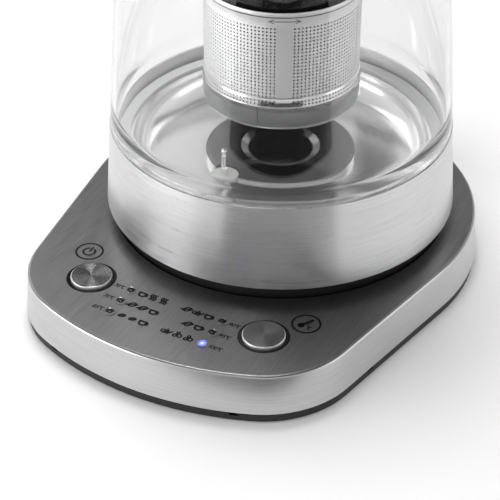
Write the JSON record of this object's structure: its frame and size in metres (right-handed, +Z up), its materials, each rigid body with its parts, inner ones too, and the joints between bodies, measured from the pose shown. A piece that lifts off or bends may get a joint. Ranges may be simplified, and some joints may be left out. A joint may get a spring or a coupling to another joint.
{
  "type": "electric tea maker",
  "caption": "Electric tea maker: glass jug with steel collar, handle, lid and turn-lock strainer on a cordless heating base with push buttons and temperature lights.",
  "frame": {"origin": "on the table under the jug's axis, which is the middle of the part's footprint", "axes": "+Z up along the jug's axis, -Y towards the control panel and the spout, +Y towards the handle and the cord inlet, +X towards the right of someone facing the panel"},
  "size_m": [0.1798, 0.2553, 0.235],
  "materials": {
    "brushed_steel": "stainless sheet, brushed along its length",
    "spun_steel": "stainless, spun finish with a bright rim",
    "floor_steel": "stainless, soft polish",
    "strainer_steel": "stainless, perforated and polished",
    "black_tray_plastic": "moulded, fine spark texture",
    "black_gloss_plastic": "moulded, glossy",
    "grey_plastic": "moulded, matt",
    "contact_plastic": "glass-filled, matt",
    "contact_brass": "stamped, plated",
    "aluminium_heater": "plain",
    "clear_glass": "clear, polished",
    "white_silicone": "moulded, satin",
    "grey_silicone": "moulded, translucent",
    "black_rubber": "moulded, matt",
    "circuit_board": "solder mask",
    "light_guide": "clear acrylic, frosted face"
  },
  "bodies": {
    "base": {"base_shell": "brushed_steel", "base_tray": "black_tray_plastic", "seat_frame": "black_tray_plastic", "connector_tower": "contact_plastic", "connector_earth_sleeve": "contact_brass", "connector_live_ring": "contact_brass", "power_bezel": "black_gloss_plastic", "power_return_dome": "white_silicone", "power_switch": "circuit_board", "temperature_bezel": "black_gloss_plastic", "temperature_return_dome": "white_silicone", "temperature_switch": "circuit_board", "control_board": "circuit_board", "light_guide_70c": "light_guide", "light_guide_75c": "light_guide", "light_guide_85c": "light_guide", "light_guide_90c": "light_guide", "light_guide_95c": "light_guide", "light_guide_100c": "light_guide", "rubber_foot_1": "black_rubber", "rubber_foot_2": "black_rubber", "rubber_foot_3": "black_rubber", "rubber_foot_4": "black_rubber", "rubber_foot_5": "black_rubber", "cord_inlet": "grey_plastic", "terminal_block": "contact_plastic"},
    "power_button": {"power_button_cap": "spun_steel", "power_button_stem": "grey_plastic"},
    "temperature_button": {"temperature_button_cap": "spun_steel", "temperature_button_stem": "grey_plastic"},
    "socket": {"socket_cup": "contact_plastic", "socket_pin": "contact_brass", "socket_blade": "contact_brass"},
    "jug": {"jug_base_cover": "black_tray_plastic", "jug_collar": "brushed_steel", "heater_plate": "floor_steel", "floor_seal": "grey_silicone", "heat_spreader": "aluminium_heater", "heating_element": "aluminium_heater", "probe_pin": "floor_steel", "probe_grommet": "white_silicone", "glass_body": "clear_glass", "top_band": "brushed_steel", "spout_rim": "black_gloss_plastic", "handle_grip": "black_gloss_plastic", "handle_strip": "brushed_steel"},
    "lid": {"lid_cover": "black_gloss_plastic", "lid_trim": "brushed_steel", "lid_inner": "black_gloss_plastic", "lid_seal": "grey_silicone", "strainer_holder": "black_gloss_plastic"},
    "filler": {"filler_cap": "black_gloss_plastic", "knob_trim": "spun_steel", "filler_seal": "grey_silicone"},
    "strainer": {"strainer_basket": "strainer_steel", "strainer_foot": "strainer_steel"}
  },
  "joints": [
    {"name": "power_press", "type": "slide", "parent": "base", "child": "power_button", "axis": [0, 0, -1], "range_m": [0, 0.0012], "stiffness_N_per_m": 400, "springref_m": -0.001, "deforming": ["power_return_dome"]},
    {"name": "temperature_press", "type": "slide", "parent": "base", "child": "temperature_button", "axis": [0, 0, -1], "range_m": [0, 0.0012], "stiffness_N_per_m": 400, "springref_m": -0.001, "deforming": ["temperature_return_dome"]},
    {"name": "jug_lift", "type": "slide", "parent": "base", "child": "socket", "axis": [0, 0, 1], "range_m": [0, 0.06]},
    {"name": "jug_turn", "type": "hinge", "parent": "socket", "child": "jug", "pos_m": [0, 0, 0.0369], "axis": [0, 0, 1], "continuous": true},
    {"name": "lid_lift", "type": "slide", "parent": "jug", "child": "lid", "axis": [0, 0, 1], "range_m": [0, 0.14]},
    {"name": "filler_lift", "type": "slide", "parent": "lid", "child": "filler", "axis": [0, 0, 1], "range_m": [0, 0.03]},
    {"name": "strainer_turn", "type": "hinge", "parent": "lid", "child": "strainer", "pos_m": [0, 0, 0.126], "axis": [0, 0, 1], "range_deg": [0, 30]}
  ]
}
